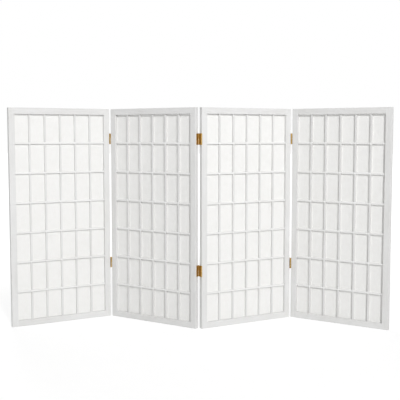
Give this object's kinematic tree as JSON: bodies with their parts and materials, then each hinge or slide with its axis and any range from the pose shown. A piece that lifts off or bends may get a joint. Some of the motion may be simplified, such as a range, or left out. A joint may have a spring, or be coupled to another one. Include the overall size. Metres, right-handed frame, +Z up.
{
  "type": "shoji folding screen",
  "caption": "Low folding screen: framed paper panels with half-lapped lattice, joined edge to edge by double-action hinges, standing in a zigzag.",
  "frame": {"origin": "on the floor, in the middle of the footprint of the standing screen", "axes": "+X to the right along the screen as seen from the front, +Y away from the viewer towards the back, +Z up"},
  "size_m": [1.5752, 0.2528, 0.9144],
  "materials": {
    "white_painted_wood": "satin",
    "shoji_paper": "matte",
    "aged_brass": "satin"
  },
  "bodies": {
    "panel_1": {"panel_1_left_stile": "white_painted_wood", "panel_1_right_stile": "white_painted_wood", "panel_1_top_rail": "white_painted_wood", "panel_1_bottom_rail": "white_painted_wood", "panel_1_upright_bars": "white_painted_wood", "panel_1_cross_bars": "white_painted_wood", "panel_1_paper": "shoji_paper", "panel_1_back_beads": "white_painted_wood", "hinge_12_top_left_plate": "aged_brass", "hinge_12_bottom_left_plate": "aged_brass"},
    "panel_2": {"panel_2_left_stile": "white_painted_wood", "panel_2_right_stile": "white_painted_wood", "panel_2_top_rail": "white_painted_wood", "panel_2_bottom_rail": "white_painted_wood", "panel_2_upright_bars": "white_painted_wood", "panel_2_cross_bars": "white_painted_wood", "panel_2_paper": "shoji_paper", "panel_2_back_beads": "white_painted_wood", "hinge_23_top_left_plate": "aged_brass", "hinge_12_top_right_plate": "aged_brass", "hinge_23_bottom_left_plate": "aged_brass", "hinge_12_bottom_right_plate": "aged_brass"},
    "panel_3": {"panel_3_left_stile": "white_painted_wood", "panel_3_right_stile": "white_painted_wood", "panel_3_top_rail": "white_painted_wood", "panel_3_bottom_rail": "white_painted_wood", "panel_3_upright_bars": "white_painted_wood", "panel_3_cross_bars": "white_painted_wood", "panel_3_paper": "shoji_paper", "panel_3_back_beads": "white_painted_wood", "hinge_34_top_left_plate": "aged_brass", "hinge_23_top_right_plate": "aged_brass", "hinge_34_bottom_left_plate": "aged_brass", "hinge_23_bottom_right_plate": "aged_brass"},
    "panel_4": {"panel_4_left_stile": "white_painted_wood", "panel_4_right_stile": "white_painted_wood", "panel_4_top_rail": "white_painted_wood", "panel_4_bottom_rail": "white_painted_wood", "panel_4_upright_bars": "white_painted_wood", "panel_4_cross_bars": "white_painted_wood", "panel_4_paper": "shoji_paper", "panel_4_back_beads": "white_painted_wood", "hinge_34_top_right_plate": "aged_brass", "hinge_34_bottom_right_plate": "aged_brass"},
    "link_12": {"hinge_12_top_leaf": "aged_brass", "hinge_12_top_pins": "aged_brass", "hinge_12_bottom_leaf": "aged_brass", "hinge_12_bottom_pins": "aged_brass"},
    "link_23": {"hinge_23_top_leaf": "aged_brass", "hinge_23_top_pins": "aged_brass", "hinge_23_bottom_leaf": "aged_brass", "hinge_23_bottom_pins": "aged_brass"},
    "link_34": {"hinge_34_top_leaf": "aged_brass", "hinge_34_top_pins": "aged_brass", "hinge_34_bottom_leaf": "aged_brass", "hinge_34_bottom_pins": "aged_brass"}
  },
  "joints": [
    {"name": "fold_12_front", "type": "hinge", "parent": "panel_2", "child": "link_12", "pos_m": [-0.39557, 0.10429, 0], "axis": [0, 0, 1], "range_deg": [-61.5, 118.5]},
    {"name": "fold_12_back", "type": "hinge", "parent": "link_12", "child": "panel_1", "pos_m": [-0.40734, 0.12406, 0], "axis": [0, 0, 1], "range_deg": [-180, 0]},
    {"name": "fold_23_back", "type": "hinge", "parent": "link_23", "child": "panel_2", "pos_m": [0, -0.10429, 0], "axis": [0, 0, -1], "range_deg": [-61.5, 118.5]},
    {"name": "fold_23_front", "type": "hinge", "parent": "link_23", "child": "panel_3", "pos_m": [0.01176, -0.12406, 0], "axis": [0, 0, 1], "range_deg": [-180, 0]},
    {"name": "fold_34_back", "type": "hinge", "parent": "panel_3", "child": "link_34", "pos_m": [0.38381, 0.12406, 0], "axis": [0, 0, -1], "range_deg": [-180, 0]},
    {"name": "fold_34_front", "type": "hinge", "parent": "link_34", "child": "panel_4", "pos_m": [0.39557, 0.10429, 0], "axis": [0, 0, -1], "range_deg": [-61.5, 118.5]}
  ]
}
